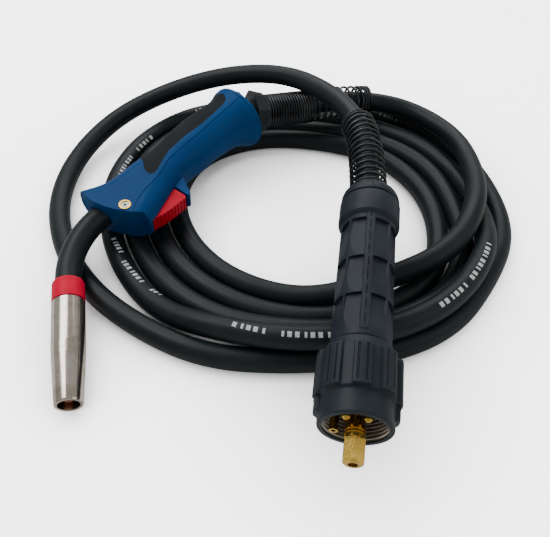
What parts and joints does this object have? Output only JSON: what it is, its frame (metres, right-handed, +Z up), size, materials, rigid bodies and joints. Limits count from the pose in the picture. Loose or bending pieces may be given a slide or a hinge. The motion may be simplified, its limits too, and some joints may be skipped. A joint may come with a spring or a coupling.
{
  "type": "mig welding torch",
  "caption": "Hand-held gas metal arc welding torch with swan neck, sprung trigger, coiled cable and central plug with hand wheel.",
  "frame": {"origin": "middle of the bounding box of the torch itself (handle, neck, nozzle and the support spring at its tail, without the cable and plug), on the surface it lies on", "axes": "+Z up from the surface, +Y away from the operator, from the nozzle towards the handle's tail, +X to the right"},
  "size_m": [0.3399, 0.3706, 0.0757],
  "materials": {
    "shell_blue": "fine moulded texture, semi gloss",
    "grip_rubber": "soft touch",
    "trigger_red": "moulded, ribbed press face",
    "brass_bright": "turned",
    "screw_steel": "zinc plated",
    "insulator_red": "moulded",
    "nozzle_nickel": "satin nickel plate on copper",
    "neck_black": "smooth insulating cover",
    "ceramic_white": "fired, matt",
    "copper": "turned copper alloy",
    "black_plastic": "moulded",
    "wheel_grey": "moulded, slightly worn",
    "housing_slate": "moulded, fine texture",
    "cable_jacket": "extruded, dull sheen",
    "spring_steel": "black oxide wire",
    "insert_metal": "nickel plated brass thread"
  },
  "bodies": {
    "torch": {"nozzle_insulator": "insulator_red", "nozzle_seat": "brass_bright", "nozzle_retaining_ring": "screw_steel", "gas_diffuser": "ceramic_white", "tip_holder": "brass_bright", "neck_tube": "brass_bright", "neck_sleeve": "neck_black", "neck_union_nut": "brass_bright", "cable_end_fitting": "brass_bright", "handle_palm_shell": "shell_blue", "handle_trigger_shell": "shell_blue", "grip_inlay": "grip_rubber", "clamp_eyelets": "brass_bright", "clamp_screw": "screw_steel", "clamp_nut": "screw_steel", "trigger_pin": "screw_steel", "trigger_spring": "spring_steel", "switch_body": "black_plastic", "switch_leads": "black_plastic", "rear_collar": "black_plastic", "swivel_sleeve": "black_plastic", "cable_handle_end": "cable_jacket", "handle_spring": "spring_steel", "cable_coil": "cable_jacket", "cable_free_loop": "cable_jacket", "guide_spigot": "brass_bright", "spigot_o_rings": "black_plastic", "wire_liner": "screw_steel", "insulator_disc": "black_plastic", "plug_body": "brass_bright", "crimp_ferrule": "brass_bright", "gas_nipple": "brass_bright", "pin_springs": "spring_steel", "plug_housing_left": "housing_slate", "plug_housing_right": "housing_slate", "relief_cap": "housing_slate", "plug_spring": "spring_steel"},
    "trigger": {"trigger": "trigger_red"},
    "switch_plunger": {"switch_plunger": "black_plastic"},
    "gas_nozzle": {"gas_nozzle": "nozzle_nickel"},
    "contact_tip": {"contact_tip": "copper"},
    "liner_nut": {"liner_nut": "brass_bright"},
    "handwheel": {"handwheel": "wheel_grey", "thread_insert": "insert_metal"},
    "control_pin_1": {"control_pin_1": "brass_bright"},
    "control_pin_2": {"control_pin_2": "brass_bright"}
  },
  "joints": [
    {"name": "trigger_press", "type": "hinge", "parent": "torch", "child": "trigger", "pos_m": [-0.05313, -0.013, 0.02833], "axis": [0.0565, -0.1629, 0.985], "range_deg": [0, 5], "stiffness_Nm_per_rad": 0.5, "springref_deg": -6.88},
    {"name": "switch_press", "type": "slide", "parent": "torch", "child": "switch_plunger", "axis": [-0.7757, 0.614, 0.146], "range_m": [0, 0.0019]},
    {"name": "nozzle_pull", "type": "slide", "parent": "torch", "child": "gas_nozzle", "axis": [0.185, -0.9678, -0.1707], "range_m": [0, 0.075]},
    {"name": "contact_tip_turn", "type": "hinge", "parent": "torch", "child": "contact_tip", "pos_m": [-0.08708, -0.12557, 0.01166], "axis": [0.185, -0.9678, -0.1707], "continuous": true},
    {"name": "liner_nut_turn", "type": "hinge", "parent": "torch", "child": "liner_nut", "pos_m": [0.06787, -0.19286, 0.03842], "axis": [0.1388, 0.983, 0.1206], "continuous": true},
    {"name": "handwheel_turn", "type": "hinge", "parent": "torch", "child": "handwheel", "pos_m": [0.07329, -0.15453, 0.04313], "axis": [0.1388, 0.983, 0.1206], "continuous": true},
    {"name": "control_pin_1_press", "type": "slide", "parent": "torch", "child": "control_pin_1", "axis": [0.1388, 0.983, 0.1206], "range_m": [0, 0.003], "stiffness_N_per_m": 900, "springref_m": -0.001},
    {"name": "control_pin_2_press", "type": "slide", "parent": "torch", "child": "control_pin_2", "axis": [0.1388, 0.983, 0.1206], "range_m": [0, 0.003], "stiffness_N_per_m": 900, "springref_m": -0.001}
  ],
  "couplings": [
    {"joint": "switch_press", "follows": "trigger_press", "m_per_rad": 0.0216}
  ]
}
